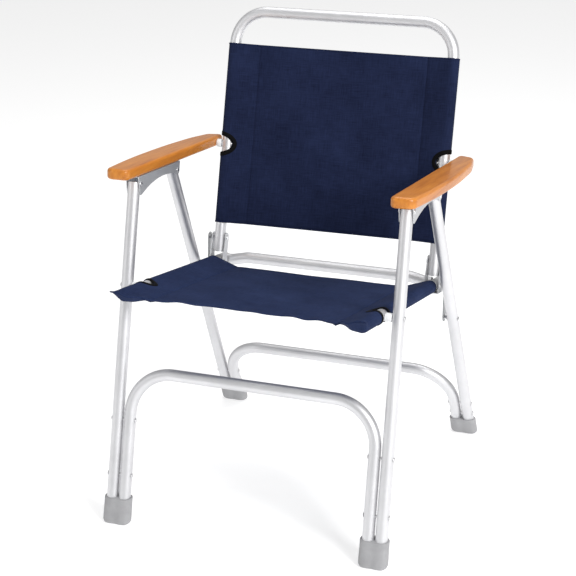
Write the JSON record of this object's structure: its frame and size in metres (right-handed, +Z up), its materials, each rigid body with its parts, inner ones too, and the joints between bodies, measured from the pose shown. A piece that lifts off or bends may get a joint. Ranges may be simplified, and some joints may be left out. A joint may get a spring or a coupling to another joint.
{
  "type": "folding deck armchair",
  "caption": "Folding armchair of round aluminium tube with a fabric seat sling and back sling, wooden armrests, braced legs and rubber feet.",
  "frame": {"origin": "on the floor, under the middle of the open chair", "axes": "+Z up, -Y the way the chair faces, +X the sitter's left"},
  "size_m": [0.594, 0.618, 0.857],
  "materials": {
    "tube": "satin anodised aluminium tube",
    "bracket": "grey sheet aluminium, matte",
    "rivet": "bright rivet and screw heads",
    "nylon": "white nylon",
    "rubber": "grey moulded rubber",
    "wood": "varnished orange-brown wood",
    "back_fabric": "dark navy plain weave",
    "seat_fabric": "navy plain weave"
  },
  "bodies": {
    "front_frame": {"front_brace": "tube", "front_leg_left": "tube", "front_leg_right": "tube", "front_foot_left": "rubber", "front_foot_right": "rubber", "front_rivet_upper_left": "rivet", "front_rivet_upper_right": "rivet", "front_rivet_lower_left": "rivet", "front_rivet_lower_right": "rivet", "seat_rivet_left": "rivet", "seat_rivet_right": "rivet", "seat_spacer_left": "nylon", "seat_spacer_right": "nylon"},
    "seat": {"seat_sling": "seat_fabric", "seat_cross_tube": "tube", "seat_rail_left": "tube", "seat_rail_right": "tube", "seat_plug_front_left": "nylon", "seat_plug_front_right": "nylon", "seat_plug_rear_left": "nylon", "seat_plug_rear_right": "nylon", "seat_clevis_left": "bracket", "seat_clevis_right": "bracket", "clevis_rivet_left": "rivet", "clevis_rivet_right": "rivet", "seat_corner_bolt_left": "rivet", "seat_corner_bolt_right": "rivet", "back_rivet_left": "rivet", "back_rivet_right": "rivet"},
    "back": {"back_frame": "tube", "back_sling": "back_fabric"},
    "arm_left": {"armrest_left": "wood", "arm_bracket_left": "bracket", "arm_screw_front_left": "rivet", "arm_screw_rear_left": "rivet", "arm_rivet_front_left": "rivet", "arm_rivet_rear_left": "rivet", "back_bolt_left": "rivet", "back_spacer_left": "nylon"},
    "arm_right": {"armrest_right": "wood", "arm_bracket_right": "bracket", "arm_screw_front_right": "rivet", "arm_screw_rear_right": "rivet", "arm_rivet_front_right": "rivet", "arm_rivet_rear_right": "rivet", "back_bolt_right": "rivet", "back_spacer_right": "nylon"},
    "rear_legs": {"rear_brace": "tube", "rear_leg_left": "tube", "rear_leg_right": "tube", "rear_foot_left": "rubber", "rear_foot_right": "rubber", "rear_rivet_upper_left": "rivet", "rear_rivet_upper_right": "rivet", "rear_rivet_lower_left": "rivet", "rear_rivet_lower_right": "rivet", "link_rivet_left": "rivet", "link_rivet_right": "rivet"},
    "link_left": {"link_left": "bracket"},
    "link_right": {"link_right": "bracket"}
  },
  "joints": [
    {"name": "seat_fold", "type": "hinge", "parent": "front_frame", "child": "seat", "pos_m": [0, -0.18402, 0.43], "axis": [-1, 0, 0], "range_deg": [0, 75]},
    {"name": "arm_fold_left", "type": "hinge", "parent": "front_frame", "child": "arm_left", "pos_m": [0.259, -0.1373, 0.611], "axis": [-1, 0, 0], "range_deg": [0, 75]},
    {"name": "arm_fold_right", "type": "hinge", "parent": "front_frame", "child": "arm_right", "pos_m": [-0.259, -0.1373, 0.611], "axis": [-1, 0, 0], "range_deg": [0, 75]},
    {"name": "back_fold", "type": "hinge", "parent": "seat", "child": "back", "pos_m": [0, 0.16528, 0.413], "axis": [-1, 0, 0], "range_deg": [-75, 0]},
    {"name": "rear_leg_fold", "type": "hinge", "parent": "arm_left", "child": "rear_legs", "pos_m": [0, 0.02209, 0.592], "axis": [-1, 0, 0], "range_deg": [-34.2, 0]},
    {"name": "link_fold_left", "type": "hinge", "parent": "rear_legs", "child": "link_left", "pos_m": [0.2457, 0.15486, 0.304], "axis": [-1, 0, 0], "range_deg": [0, 76.5]},
    {"name": "link_fold_right", "type": "hinge", "parent": "rear_legs", "child": "link_right", "pos_m": [-0.2457, 0.15486, 0.304], "axis": [-1, 0, 0], "range_deg": [0, 76.5]}
  ],
  "couplings": [
    {"joint": "arm_fold_left", "follows": "seat_fold", "ratio": 1},
    {"joint": "arm_fold_right", "follows": "seat_fold", "ratio": 1},
    {"joint": "back_fold", "follows": "seat_fold", "ratio": -1},
    {"joint": "rear_leg_fold", "follows": "seat_fold", "ratio": -0.4558},
    {"joint": "link_fold_left", "follows": "seat_fold", "ratio": 1.0191},
    {"joint": "link_fold_right", "follows": "seat_fold", "ratio": 1.0191}
  ]
}
